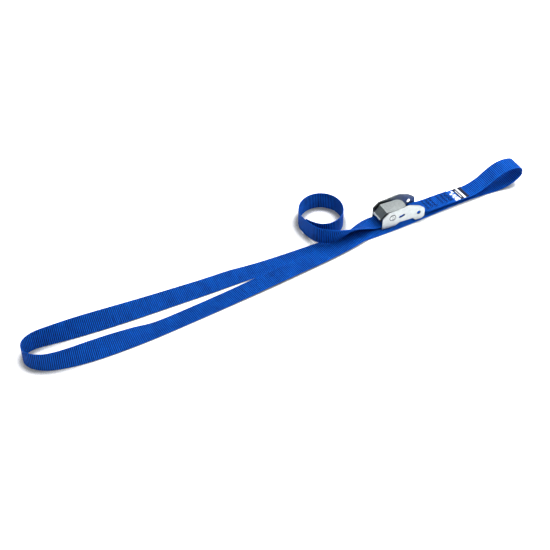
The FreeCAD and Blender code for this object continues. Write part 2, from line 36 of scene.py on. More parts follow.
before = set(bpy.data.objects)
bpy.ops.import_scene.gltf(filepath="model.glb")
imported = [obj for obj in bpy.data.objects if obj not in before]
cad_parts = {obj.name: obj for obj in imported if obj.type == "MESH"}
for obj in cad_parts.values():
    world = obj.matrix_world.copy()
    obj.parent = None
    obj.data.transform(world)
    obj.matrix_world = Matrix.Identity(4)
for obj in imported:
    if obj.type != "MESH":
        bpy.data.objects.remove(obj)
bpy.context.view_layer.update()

MM = 0.001

# ---------------------------------------------------------------- layout, in millimetres

WEB_WIDE = 25.0
WEB_THICK = 1.4
FLAT = WEB_THICK / 2
GAP = 0.05

# Top of the frame's plate, and heights of the webbing's middle: on the floor, on the strand below it
# and on the plate.
PLATE_TOP = 5.0
ON_FLOOR = FLAT
ON_WEB = ON_FLOOR + WEB_THICK + GAP
OVER_PLATE = PLATE_TOP + GAP + FLAT

# Front edge of the ears, back edge of the plate, and where the webbing folds back round that edge.
EAR_FRONT = -31.0
PLATE_BACK = -11.5
FOLD_BACK = PLATE_BACK + (OVER_PLATE - ON_WEB) / 2

# The strap bar, and the turn of the webbing round it with a little slack.
BAR_X = 25.4
BAR_Z = 6.3
BAR_RADIUS = 3.2
BAR_TURN = BAR_RADIUS + FLAT + 0.08
ROUND_BAR = BAR_X - BAR_TURN
BELOW_BAR = BAR_Z - BAR_TURN
ABOVE_BAR = BAR_Z + BAR_TURN

# Heights of the two sewn layers, and the x and y of the stitched stretch's two ends.
STACK_LOW = 6.85
STACK_HIGH = 8.6
STACK_START = (41.0, 1.1)
STACK_END = (88.0, 4.6)

# Routes of the webbing's middle line: x, y, z and lean, which is how far its width is turned up from
# level, in degrees. They are turned into metres where the splines are made.
SEWN_ROUTE = [
    (104.0, 5.62, STACK_LOW, 0),
    (68.0, 3.1, STACK_LOW, 0),
    (42.0, 1.2, STACK_LOW, 0),
    (31.0, 0.3, BELOW_BAR, 0),
    (ROUND_BAR, 0.0, BELOW_BAR, 0),
    (ROUND_BAR, 0.0, ABOVE_BAR, 0),
    (30.5, 0.3, ABOVE_BAR, 0),
    (*STACK_START, STACK_HIGH, 0),
    (64.0, 2.8, STACK_HIGH, 0),
    (*STACK_END, STACK_HIGH, 0),
]
LOOP_ROUTE = [
    (104.0, 5.62, STACK_LOW, 0),
    (116.0, 6.46, STACK_LOW, 0),
    (128.5, 7.1, 9.7, 0),
    (141.0, 7.5, 15.6, 0),
    (153.0, 7.6, 25.0, 0),
    (166.0, 7.5, 32.2, 0),
    (181.0, 7.4, 34.6, 0),
    (195.5, 7.3, 31.4, 0),
    (198.8, 7.3, 20.0, 0),
    (191.0, 7.5, 11.0, 0),
    (177.0, 7.9, 4.4, 0),
    (160.0, 8.4, ON_FLOOR, 0),
    (139.0, 8.7, ON_FLOOR, 0),
    (112.0, 7.6, ON_FLOOR, 0),
    (82.0, 4.6, ON_FLOOR, 0),
    (50.0, 0.2, ON_FLOOR, 0),
    (18.0, -3.9, ON_FLOOR, 0),
    (-18.0, -8.0, ON_FLOOR, 0),
    (-72.0, -11.6, ON_FLOOR, 0),
    (-122.0, -13.2, ON_FLOOR, 0),
    (-168.0, -15.4, ON_FLOOR, 0),
    (-208.0, -16.7, ON_FLOOR, 0),
    (-234.0, -17.5, 1.55, 3.5),
    (-254.0, -18.7, 2.75, 9),
    (-288.0, -21.3, 3.2, 11),
    (-340.0, -24.0, 4.5, 17),
    (-385.0, -26.9, 6.3, 25),
    (-425.0, -29.4, 8.5, 37),
    (-462.0, -31.4, 10.6, 52),
    (-494.0, -33.4, 12.4, 69),
    (-519.0, -33.8, 12.7, 82),
    (-535.0, -43.5, 12.8, 90),
    (-534.6, -62.0, 12.8, 90),
    (-517.0, -76.0, 12.8, 84),
    (-490.0, -79.6, 12.4, 72),
    (-458.0, -77.6, 10.5, 51),
    (-425.0, -73.5, 7.5, 31),
    (-396.0, -69.7, 4.4, 16),
    (-376.0, -67.0, 1.45, 2),
    (-352.0, -63.7, 0.8, 0),
    (-305.0, -56.9, 0.85, 0),
    (-256.0, -49.4, 1.3, 0),
    (-210.0, -41.9, ON_WEB + 0.35, 0),
    (-166.0, -34.4, ON_WEB + 0.05, 0),
    (-124.0, -27.0, ON_WEB, 0),
    (-88.0, -19.2, ON_WEB, 0),
    (-60.0, -10.6, ON_WEB, 0),
    (-42.0, -4.4, ON_WEB, 0),
    (-27.0, 0.0, ON_WEB, 0),
    (-16.0, 0.0, ON_WEB, 0),
]
BUCKLE_ROUTE = [
    (-16.0, 0.0, ON_WEB, 0),
    (FOLD_BACK, 0.0, ON_WEB, 0),
    (FOLD_BACK, 0.0, OVER_PLATE, 0),
    (EAR_FRONT, 0.0, OVER_PLATE, 0),
]
TAIL_ROUTE = [
    (EAR_FRONT, 0.0, OVER_PLATE, 0),
    (-40.0, 0.0, OVER_PLATE, 0),
    (-52.0, -3.0, 7.8, -16),
    (-66.0, -8.0, 10.8, -33),
    (-80.0, -12.9, 13.8, -52),
    (-95.5, -15.2, 15.5, -71),
    (-111.0, -11.6, 15.9, -85),
    (-123.8, -1.4, 15.6, -90),
]

# The tail's curl: an oval with a long and a short half axis, the long one turned from X, and points at
# even steps of angle that creep inward. Its first point stands a little higher than the rest.
CURL_CENTRE = (-97.6, 35.6)
CURL_LONG = 37.0
CURL_SHORT = 32.3
CURL_AXIS = 66.0
CURL_START = 206.0
CURL_STEP = 28.0
CURL_POINTS = 14
CURL_TIGHTEN = 0.3
CURL_HIGH = 12.7
CURL_DROP = 1.2

# Places on the buckle, as x and z: the pivot, the hole in the ears, and the springs' slot.
PIVOT = (-15.8, 18.4)
EAR_HOLE = (24.8, 14.7)
SLOT_MIDDLE = (-1.5, 17.1)
SLOT_HALF = 3.1
SLOT_TILT = 17.0

# The CAD stretches of webbing that the hand loop stands for.
WEB_NODES = [
    "webbing_eye",
    "webbing_under_run",
    "webbing_far_run",
    "webbing_loop_bend",
    "webbing_near_run",
    "webbing_entry_run",
]


def curl_route():
    """The tail's curl: one turn of a slowly tightening oval, clockwise seen from above."""
    route = []
    for count in range(CURL_POINTS):
        angle = CURL_START - CURL_STEP * count
        turn = math.radians(angle)
        off_axis = math.radians(angle - CURL_AXIS)
        reach = 1 / math.hypot(math.cos(off_axis) / CURL_LONG, math.sin(off_axis) / CURL_SHORT)
        reach -= CURL_TIGHTEN * count
        high = CURL_HIGH + CURL_DROP * max(0, 1 - count)
        x = CURL_CENTRE[0] + reach * math.cos(turn)
        y = CURL_CENTRE[1] + reach * math.sin(turn)
        route.append((x, y, high, -90))
    return route


# ---------------------------------------------------------------- materials


class Nodes:
    """A material's node tree, with one short call for each kind of node."""

    def __init__(self, name):
        self.material = bpy.data.materials.new(name)
        self.material.use_nodes = True
        self.tree = self.material.node_tree
        self.tree.nodes.clear()
        out = self.tree.nodes.new("ShaderNodeOutputMaterial")
        self.shader = self.tree.nodes.new("ShaderNodeBsdfPrincipled")
        self.tree.links.new(self.shader.outputs[0], out.inputs["Surface"])

    def put(self, socket, value):
        """Give an input a number, a colour or another node's output."""
        if isinstance(value, bpy.types.NodeSocket):
            self.tree.links.new(value, socket)
        elif isinstance(value, tuple) and len(value) == 3 and socket.type == "RGBA":
            socket.default_value = (*value, 1)
        else:
            socket.default_value = value

    def calc(self, operation, first, second=0.0, third=0.0):
        """One sum on up to three values."""
        node = self.tree.nodes.new("ShaderNodeMath")
        node.operation = operation
        for socket, value in zip(node.inputs, (first, second, third)):
            self.put(socket, value)
        return node.outputs[0]

    def times(self, first, *others):
        """Product of two or more values."""
        for other in others:
            first = self.calc("MULTIPLY", first, other)
        return first

    def plus(self, base, value, share):
        """A base and a share of a value."""
        return self.calc("MULTIPLY_ADD", value, share, base)

    def ribs(self, value, pitch=1.0):
        """A row of round ribs a pitch apart: 0 in the grooves, 1 on the crowns."""
        return self.calc("ABSOLUTE", self.calc("SINE", self.times(value, math.pi / pitch)))

    def smooth(self, value, low, high, to_low=0.0, to_high=1.0):
        """Smooth step of a value between two levels."""
        node = self.tree.nodes.new("ShaderNodeMapRange")
        node.interpolation_type = "SMOOTHSTEP"
        for socket, number in zip(node.inputs, (value, low, high, to_low, to_high)):
            self.put(socket, number)
        return node.outputs[0]

    def fall(self, value, low, high):
        """Smooth step down, from 1 at the low level to 0 at the high one."""
        return self.smooth(value, low, high, 1.0, 0.0)

    def band(self, value, start, full, fading, end):
        """1 between the two inner levels of a value, easing to 0 at the two outer ones."""
        return self.times(self.smooth(value, start, full), self.fall(value, fading, end))

    def mix(self, factor, first, second):
        """A mix of two colours."""
        node = self.tree.nodes.new("ShaderNodeMix")
        node.data_type = "RGBA"
        self.put(node.inputs["Factor"], factor)
        colours = [socket for socket in node.inputs if socket.type == "RGBA"]
        self.put(colours[0], first)
        self.put(colours[1], second)
        return [socket for socket in node.outputs if socket.type == "RGBA"][0]

    def place(self):
        """Position in the object's own frame, in millimetres."""
        node = self.tree.nodes.new("ShaderNodeTexCoord")
        return self.stretch(node.outputs["Object"], (1000, 1000, 1000))

    def along_across(self):
        """The webbing's own coordinates in millimetres: along it and across it."""
        node = self.tree.nodes.new("ShaderNodeUVMap")
        node.uv_map = "weave"
        along, across, _ = self.split(self.stretch(node.outputs[0], (1000, 1000, 1)))
        return along, across

    def stretch(self, vector, scale):
        """A vector with its three parts scaled."""
        node = self.tree.nodes.new("ShaderNodeMapping")
        self.put(node.inputs["Vector"], vector)
        node.inputs["Scale"].default_value = scale
        return node.outputs[0]

    def join(self, x, y):
        """A flat vector from two values."""
        node = self.tree.nodes.new("ShaderNodeCombineXYZ")
        self.put(node.inputs[0], x)
        self.put(node.inputs[1], y)
        return node.outputs[0]

    def split(self, vector):
        """The three parts of a vector."""
        node = self.tree.nodes.new("ShaderNodeSeparateXYZ")
        self.put(node.inputs[0], vector)
        return node.outputs[0], node.outputs[1], node.outputs[2]

    def noise(self, vector, scale, detail, roughness):
        """Soft noise from 0 to 1, scale patches to a unit of the vector."""
        node = self.tree.nodes.new("ShaderNodeTexNoise")
        self.put(node.inputs["Vector"], vector)
        node.inputs["Scale"].default_value = scale
        node.inputs["Detail"].default_value = detail
        node.inputs["Roughness"].default_value = roughness
        return node.outputs[0]

    def bump(self, height, distance, strength, normal=None):
        """A normal tilted by a height, on top of another normal where one is given."""
        node = self.tree.nodes.new("ShaderNodeBump")
        self.put(node.inputs["Height"], height)
        node.inputs["Distance"].default_value = distance
        node.inputs["Strength"].default_value = strength
        if normal is not None:
            self.put(node.inputs["Normal"], normal)
        return node.outputs[0]

    def soft_edges(self, radius):
        """A normal that rounds sharp edges."""
        node = self.tree.nodes.new("ShaderNodeBevel")
        node.samples = 4
        node.inputs["Radius"].default_value = radius
        return node.outputs[0]

    def crevice(self, distance, low=0.25, high=0.85):
        """How open a place is, from 0 in a tight gap to 1 in the open."""
        node = self.tree.nodes.new("ShaderNodeAmbientOcclusion")
        node.samples = 8
        node.inputs["Distance"].default_value = distance
        return self.smooth(node.outputs["AO"], low, high)

    def finish(self, **values):
        """Give the shader its inputs, named as in Python: base_color for Base Color."""
        for name, value in values.items():
            title = name.replace("_", " ").title().replace("Ior", "IOR")
            self.put(self.shader.inputs[title], value)
        return self.material


def darker(colour, share):
    """A share of a colour."""
    return tuple(value * share for value in colour)


# The weave in millimetres: pitch of the cross ribs and of the yarns in them, and where the selvedge
# begins and is full, from the middle. Then how sharp a rib's crown is, and how much the dye wanders.
RIB = 2.4
YARN = 1.15
SELVEDGE = (11.3, 12.0)
RIB_SHARP = 2.5
DYE_DRIFT = 0.45
WEB_GROOVE_SHADE = (0.0, 0.002, 0.03)
WEB_CROWN = (0.001, 0.110, 0.61)
WEB_EDGE = (0.0, 0.030, 0.22)
BLACK = (0.0, 0.0, 0.0)


def webbing_material():
    """Polyester webbing: raised cross ribs of paired yarns, a dense selvedge, and uneven dye."""
    web = Nodes("blue_webbing")
    along, across = web.along_across()

    # Yarns are shifted by half a pitch in every other rib.
    rib = web.calc("DIVIDE", along, RIB)
    row = web.calc("FLOOR", rib)
    odd = web.calc("MODULO", web.calc("ABSOLUTE", row), 2.0)
    crown = web.calc("POWER", web.ribs(rib), RIB_SHARP)
    yarn = web.ribs(web.plus(web.calc("DIVIDE", across, YARN), odd, 0.5))
    weave = web.times(crown, web.plus(0.48, yarn, 0.62))
    selvedge = web.smooth(web.calc("ABSOLUTE", across), *SELVEDGE)
    binding = web.plus(0.3, web.ribs(along, RIB), 0.4)
    height = web.calc("ADD", web.times(weave, web.calc("SUBTRACT", 1.0, selvedge)),
                      web.times(binding, selvedge))

    # Fine fibres, broad clouds in the dye, and ribs that took it unevenly.
    fibres = web.noise(web.join(web.times(along, 1.4), web.times(across, 9.0)), 1.0, 4.0, 0.7)
    clouds = web.noise(web.join(along, across), 0.045, 3.0, 0.55)
    rows = web.noise(web.join(row, web.times(across, 0.03)), 0.9, 2.0, 0.6)
    rows_drift = web.times(web.calc("SUBTRACT", rows, 0.5), DYE_DRIFT)
    drift = web.plus(rows_drift, web.calc("SUBTRACT", clouds, 0.5), DYE_DRIFT)
    tone = web.calc("ADD", drift, web.plus(height, fibres, 0.15))

    # Grooves between the ribs are coloured near black: painted shade, on top of the dye's own drift and
    # fibre flecks.
    colour = web.mix(web.smooth(tone, -0.05, 1.0), WEB_GROOVE_SHADE, WEB_CROWN)
    colour = web.mix(web.times(selvedge, 0.35), colour, WEB_EDGE)
    # Painted shade: creases and gaps between layers darkened towards black.
    colour = web.mix(web.crevice(0.008, 0.05, 0.7), web.mix(0.55, BLACK, colour), colour)
    return web.finish(base_color=colour, roughness=web.plus(0.6, fibres, 0.2),
                      normal=web.bump(web.plus(height, fibres, 0.2), 0.0005, 1.0), specular_ior_level=0.07)


def sealed_material():
    """Webbing melted at its cut edge: glossy, dark and lumpy."""
    melt = Nodes("sealed_webbing")
    lumps = melt.noise(melt.place(), 1.3, 4.0, 0.6)
    colour = melt.mix(melt.smooth(lumps, 0.3, 0.7), (0.001, 0.012, 0.09), (0.004, 0.05, 0.30))
    return melt.finish(base_color=colour, roughness=melt.smooth(lumps, 0.2, 0.8, 0.22, 0.5),
                       normal=melt.bump(lumps, 0.0003, 0.7))


# Length in millimetres over which the thread's plies make one twist.
PLY_TWIST = 0.62


def thread_material():
    """Bonded sewing thread with the twist of its plies."""
    thread = Nodes("stitch_thread")
    along, around = thread.along_across()
    twist = thread.calc("SINE", thread.times(thread.calc("ADD", along, around), 2 * math.pi / PLY_TWIST))
    fuzz = thread.noise(thread.place(), 4.0, 3.0, 0.6)
    height = thread.plus(fuzz, twist, 0.5)
    colour = thread.mix(thread.smooth(height, 0.0, 1.1), (0.0005, 0.001, 0.008), (0.001, 0.008, 0.05))
    return thread.finish(base_color=colour, roughness=0.6, normal=thread.bump(height, 0.00012, 0.9),
                         specular_ior_level=0.1)


# Plain pale blocks on the label, as low and high along it and near and far across it, in millimetres.
LABEL_BLOCKS = [
    (7.0, 12.0, -11.5, -7.0),
    (10.0, 15.5, -8.5, -4.5),
    (13.0, 16.0, -11.5, -7.5),
    (7.0, 9.5, -5.0, -1.5),
    (10.5, 15.0, -3.0, 1.5),
    (7.5, 12.0, 2.5, 5.5),
    (13.0, 15.5, 4.5, 9.5),
    (19.0, 19.8, -8.0, 7.5),
]
LABEL_STRIP = (22.2, 25.2, -11.5, 11.5)
# Where the label turns from blue to black, how soft the marks' edges are, and the pitches of its weave.
LABEL_DARK = 16.5
MARK_SOFT = 0.15
LABEL_WARP = 0.42
LABEL_WEFT = 0.36
LABEL_BLUE = (0.002, 0.11, 0.55)
LABEL_BLACK = (0.003, 0.004, 0.010)
LABEL_THREAD = (0.0, 0.01, 0.06)
LABEL_PALE = (0.75, 0.79, 0.82)


def label_material():
    """Woven label: a blue inner half with plain pale blocks, a black outer half with a pale strip."""
    label = Nodes("label_cloth")
    along, across = label.along_across()
    height = label.calc("MAXIMUM", label.ribs(across, LABEL_WARP), label.ribs(along, LABEL_WEFT))

    def between(value, low, high):
        return label.band(value, low - MARK_SOFT, low + MARK_SOFT, high - MARK_SOFT, high + MARK_SOFT)

    marks = 0.0
    for low, high, near, far in [LABEL_STRIP] + LABEL_BLOCKS:
        block = label.times(between(along, low, high), between(across, near, far))
        marks = label.calc("MAXIMUM", marks, block)
    marks = label.times(marks, label.plus(0.75, height, 0.25))
    ground = label.mix(label.smooth(along, LABEL_DARK - 0.2, LABEL_DARK + 0.2), LABEL_BLUE, LABEL_BLACK)
    ground = label.mix(label.times(height, 0.35), ground, LABEL_THREAD)
    return label.finish(base_color=label.mix(marks, ground, LABEL_PALE), roughness=0.6,
                        normal=label.bump(height, 0.00008, 0.8), specular_ior_level=0.2)


# The lever in millimetres: where its flanges are in shade, across and in height, then the embossed
# panel's sides across, along and in height, and the pitch of its bars.
FLANGE_ACROSS = (8.4, 9.2)
FLANGE_HIGH = (23.0, 24.5)
PANEL_ACROSS = (5.2, 6.0)
PANEL_FRONT = (-17.0, -16.2)
PANEL_BACK = (1.2, 2.0)
PANEL_HIGH = (25.6, 25.9)
PANEL_PITCH = 4.6


def metal_material(name, light, dark, rough, grain, edge=0.00022, rings=(), lever=False):
    """Zinc-plated sheet: rolling grain along X, mottled plating, fine scratches, softened edges and painted
    shade in its hollows.
    Rings are bands of painted shade round a cross axis, as its x and z and the band's radii in millimetres."""
    metal = Nodes(name)
    spot = metal.place()
    x, y, z = metal.split(spot)
    mottle = metal.noise(spot, 0.22, 4.0, 0.6)
    rolled = metal.noise(metal.stretch(spot, (0.35, 5.0, 5.0)), 1.0, 4.0, 0.65)
    pits = metal.noise(spot, 2.4, 3.0, 0.7)
    scratches = metal.noise(metal.stretch(spot, (3.5, 0.25, 0.8)), 1.6, 2.0, 0.8)
    scratches = metal.smooth(scratches, 0.64, 0.70)
    normal = metal.soft_edges(edge)

    tone = metal.plus(metal.times(rolled, 0.45), mottle, 0.7)
    colour = metal.mix(metal.smooth(tone, 0.3, 0.85), dark, light)
    colour = metal.mix(metal.times(scratches, 0.35), colour, darker(dark, 0.6))
    # Painted shade: hollows, holes and gaps darkened nearly to black.
    colour = metal.mix(metal.crevice(0.005), darker(dark, 0.05), colour)

    # Bands of painted shade round the ear hole, the rivet's head and along the slot.
    for (middle_x, middle_z), (inside, outside) in rings:
        off_x = metal.calc("POWER", metal.calc("SUBTRACT", x, middle_x), 2.0)
        off_z = metal.calc("POWER", metal.calc("SUBTRACT", z, middle_z), 2.0)
        off = metal.calc("SQRT", metal.calc("ADD", off_x, off_z))
        ring = metal.band(off, inside - 0.2, inside, outside, outside + 0.1)
        colour = metal.mix(metal.times(ring, 0.9), colour, darker(dark, 0.06))

    if lever:
        side = metal.calc("ABSOLUTE", y)
        # Painted shade on the flanges' outer faces.
        flange_shade = metal.times(metal.smooth(side, *FLANGE_ACROSS), metal.fall(z, *FLANGE_HIGH))
        colour = metal.mix(metal.times(flange_shade, 0.7), colour, darker(dark, 0.1))
        bars = metal.ribs(metal.calc("SUBTRACT", x, PANEL_FRONT[0]), PANEL_PITCH)
        panel = metal.times(metal.fall(side, *PANEL_ACROSS), metal.smooth(x, *PANEL_FRONT),
                            metal.fall(x, *PANEL_BACK), metal.smooth(z, *PANEL_HIGH))
        normal = metal.bump(metal.times(metal.smooth(bars, 0.45, 0.75), panel), 0.00035, 0.35, normal)

    gloss = metal.plus(metal.plus(rough, rolled, grain), scratches, 0.12)
    relief = metal.plus(metal.plus(metal.times(scratches, -0.6), rolled, 0.5), pits, 0.5)
    return metal.finish(base_color=colour, metallic=1.0, roughness=gloss,
                        normal=metal.bump(relief, 0.00005, 0.6, normal))


# Radii in millimetres of the bands of painted shade: the ear hole's wall, the frame round the rivet's head,
# the head's rim and dimple, and a disc that covers the slot's walls, with how many of those stand to each
# side of the slot's middle.
HOLE_WALL_SHADE = (2.5, 2.95)
ROUND_HEAD_SHADE = (4.3, 4.85)
HEAD_RIM_SHADE = (4.1, 5.0)
HEAD_DIMPLE_SHADE = (1.5, 1.9)
SLOT_DISC = (-1.0, 1.74)
SLOT_DISCS = 4


def slot_shade_discs():
    """Discs along the spring slot, for painted shade on its walls."""
    tilt = math.radians(SLOT_TILT)
    discs = []
    for count in range(-SLOT_DISCS, SLOT_DISCS + 1):
        reach = SLOT_HALF * (count / SLOT_DISCS)
        middle = (SLOT_MIDDLE[0] + reach * math.cos(tilt), SLOT_MIDDLE[1] + reach * math.sin(tilt))
        discs.append((middle, SLOT_DISC))
    return discs


def floor_material():
    """Pale floor, lit and glowing so that it burns out, with thin contact shadows painted into its colour
    and glow round what lies on it.
    """
    floor = Nodes("studio_floor")
    spread = floor.noise(floor.place(), 0.004, 2.0, 0.55)
    # Painted contact shadows: the floor's colour and glow darken where things hem it in.
    open_sky = floor.crevice(0.014, 0.62, 0.98)
    colour = floor.mix(spread, (0.90, 0.90, 0.905), (0.93, 0.93, 0.93))
    colour = floor.mix(open_sky, (0.30, 0.31, 0.33), colour)
    return floor.finish(base_color=colour, roughness=0.85, emission_color=(1.0, 1.0, 1.0),
                        emission_strength=floor.times(open_sky, 0.5))


# ---------------------------------------------------------------- webbing pieces

SPLINE_STEPS = 14
# Steps to a rib in the mesh, how deep its grooves are, and the section's rounded selvedge.
RIB_STEPS = 4
RIB_DEEP = 0.16
EDGE_ROUND = 0.8
EDGE_THIN = 0.05


def spline_points(name, points):
    """Points along the smooth spline that a route controls, in metres."""
    data = bpy.data.curves.new(name, "CURVE")
    data.dimensions = "3D"
    data.resolution_u = SPLINE_STEPS
    spline = data.splines.new("NURBS")
    spline.points.add(len(points) - 1)
    for control, point in zip(spline.points, points):
        control.co = (*point, 1.0)
    spline.order_u = 3
    spline.use_endpoint_u = True
    holder = bpy.data.objects.new(name, data)
    mesh = bpy.data.meshes.new_from_object(holder)
    found = [vertex.co.copy() for vertex in mesh.vertices]
    bpy.data.objects.remove(holder)
    bpy.data.curves.remove(data)
    bpy.data.meshes.remove(mesh)
    return found


def stations(name, route):
    """Places along a route: the point, its heading, and the section's two axes."""
    line = spline_points(name, [(x * MM, y * MM, z * MM) for x, y, z, lean in route])
    leans = [(lean * MM, count * MM, 0) for count, (x, y, z, lean) in enumerate(route)]
    found = []
    for index, (point, lean) in enumerate(zip(line, spline_points(name + "_lean", leans))):
        ahead = line[min(index + 1, len(line) - 1)]
        behind = line[max(index - 1, 0)]
        heading = (ahead - behind).normalized()
        turn = math.radians(lean.x / MM)
        across = Vector((0, math.cos(turn), math.sin(turn)))
        across = (across - heading * across.dot(heading)).normalized()
        found.append((point, heading, across, heading.cross(across)))
    return found


def even_places(places, begin):
    """Places at even steps, a quarter of a rib apart: how far along, the point, and the two axes."""
    marks = [0.0]
    for before, after in zip(places, places[1:]):
        marks.append(marks[-1] + (after[0] - before[0]).length)
    count = max(2, round(marks[-1] / (RIB * MM / RIB_STEPS)))
    found = []
    index = 0
    for step in range(count + 1):
        mark = marks[-1] * step / count
        while index < len(marks) - 2 and marks[index + 1] < mark:
            index += 1
        share = (mark - marks[index]) / (marks[index + 1] - marks[index])
        before, after = places[index], places[index + 1]
        point, heading, across, through = (a.lerp(b, share) for a, b in zip(before, after))
        found.append((begin + mark, point, across.normalized(), through.normalized()))
    return found


def ring_profile():
    """Section of the webbing, as across and through in millimetres, with rounded selvedges."""
    flat = WEB_WIDE / 2 - EDGE_ROUND
    upper = [(flat * share, FLAT * (1 - EDGE_THIN * share * share))
             for share in (-1, -0.8, -0.5, -0.2, 0.2, 0.5, 0.8, 1)]
    bulge = [(flat + EDGE_ROUND * math.cos(turn), (1 - EDGE_THIN) * FLAT * math.sin(turn))
             for turn in (0.9, 0.45, 0.0, -0.45, -0.9)]
    lower = [(across, -through) for across, through in reversed(upper)]
    return upper + bulge + lower + [(-across, -through) for across, through in bulge]


def skin(mesh, rings, uv=None, spot=None):
    """Faces between neighbouring rings of vertices. Spot gives a corner's own coordinates from its
    ring's number and its number round the ring."""
    count = len(rings[0])
    for step in range(len(rings) - 1):
        for side in range(count):
            corners = ((step, side), (step, side + 1), (step + 1, side + 1), (step + 1, side))
            face = mesh.faces.new([rings[ring][turn % count] for ring, turn in corners])
            if spot:
                for loop, (ring, turn) in zip(face.loops, corners):
                    loop[uv].uv = spot(ring, turn)


def link(name, mesh_data, materials):
    """A new piece with its materials, in the scene."""
    piece = bpy.data.objects.new(name, mesh_data)
    for material in materials:
        mesh_data.materials.append(material)
    bpy.context.scene.collection.objects.link(piece)
    for face in mesh_data.polygons:
        face.use_smooth = True
    return piece


def made_piece(name, mesh, materials):
    """A new piece from a built mesh, its faces turned outward."""
    bmesh.ops.recalc_face_normals(mesh, faces=mesh.faces)
    data = bpy.data.meshes.new(name)
    mesh.to_mesh(data)
    mesh.free()
    return link(name, data, materials)


def ribbon(name, route, begin=0.0, cut_end=False):
    """A ribbed webbing piece along a route, the points of its middle line, and where its length ends."""
    places = stations(name, route)
    steps = even_places(places, begin)
    profile = ring_profile()
    mesh = bmesh.new()
    uv = mesh.loops.layers.uv.new("weave")
    rings = []
    for mark, point, across, through in steps:
        rise = math.sin(math.pi * mark / (RIB * MM)) ** 2
        thin = 1 - RIB_DEEP / FLAT * (1 - rise)
        rings.append([mesh.verts.new(point + across * (a * MM) + through * (t * thin * MM))
                      for a, t in profile])
    skin(mesh, rings, uv, lambda ring, turn: (steps[ring][0], profile[turn % len(profile)][0] * MM))
    if cut_end:
        mesh.faces.new(rings[-1]).material_index = 1
    mesh.normal_update()
    piece = made_piece(name, mesh, [WEBBING, SEALED])
    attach(piece, "strap")
    return piece, [place[0] for place in places], steps[-1][0]


# ---------------------------------------------------------------- stitching, label and sealed edge

# Zigzag rows of stitches in millimetres: the x of each row, the stitches in a row, how far a row swings
# along the strap and steps across it, and the thread's radius and how high it arches.
SEAM_ROWS = (44.5, 51.0, 57.5, 69.0, 75.5, 82.0)
ROW_STITCHES = 8
ROW_SWING = 1.7
ROW_STEP = 2.4
ROW_STRAY = 0.35
THREAD_RADIUS = 0.44
THREAD_RISE = 0.18
THREAD_STEPS = 8
THREAD_SIDES = 8


def stack_frame(across_x):
    """Middle of the sewn stack at a given x, and its heading."""
    start = Vector((*STACK_START, 0))
    end = Vector((*STACK_END, 0))
    return start + (end - start) * ((across_x - start.x) / (end.x - start.x)), (end - start).normalized()


def stitch(mesh, uv, start, end):
    """One stitch: a thread that comes out of the webbing, lies over it and dives in again."""
    way = end - start
    sideways = way.cross(Vector((0, 0, 1))).normalized()
    rings = []
    for step in range(THREAD_STEPS + 1):
        share = step / THREAD_STEPS
        off_middle = abs(2 * share - 1)
        lift = THREAD_RISE * (1 - off_middle ** 4) - THREAD_RADIUS * 1.1 * off_middle ** 6
        middle = start + way * share + Vector((0, 0, lift))
        ring = []
        for side in range(THREAD_SIDES):
            turn = 2 * math.pi * side / THREAD_SIDES
            squash = 0.72 if math.sin(turn) < 0 else 1.0
            offset = sideways * math.cos(turn) + Vector((0, 0, squash * math.sin(turn)))
            ring.append(mesh.verts.new((middle + offset * THREAD_RADIUS) * MM))
        rings.append(ring)
    round_thread = 2 * math.pi * THREAD_RADIUS
    skin(mesh, rings, uv, lambda ring, turn: (way.length * ring / THREAD_STEPS * MM,
                                              round_thread * turn / THREAD_SIDES * MM))


def seam_threads():
    """Rows of zigzag stitching across the sewn stack."""
    mesh = bmesh.new()
    uv = mesh.loops.layers.uv.new("weave")
    top = Vector((0, 0, STACK_HIGH + FLAT))
    for row, across_x in enumerate(SEAM_ROWS):
        middle, heading = stack_frame(across_x)
        side_way = Vector((-heading.y, heading.x, 0))
        corners = []
        for count in range(ROW_STITCHES + 1):
            swing = ROW_SWING if count % 2 else -ROW_SWING
            swing += noise.noise(Vector((row * 3.1, count * 1.7, 0.4))) * ROW_STRAY
            side = ROW_STEP * (count - ROW_STITCHES / 2)
            corners.append(middle + side_way * side + heading * swing + top)
        for start, end in zip(corners, corners[1:]):
            stitch(mesh, uv, start, end)
    piece = made_piece("seam_threads", mesh, [THREAD])
    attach(piece, "strap")
    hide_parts("seam_stitches")


# The label in millimetres: the x where it begins, its length, half its width, its lowest height, its
# thickness, the lift of its upper face, and how much it ripples and rises at its end.
LABEL_START = 81.0
LABEL_LONG = 31
LABEL_HALF = 12
LABEL_LOW = STACK_LOW + FLAT + 0.02
LABEL_THICK = 0.24
LABEL_LIFT = 0.25
LABEL_RIPPLE = 0.06
LABEL_CURL = 0.10


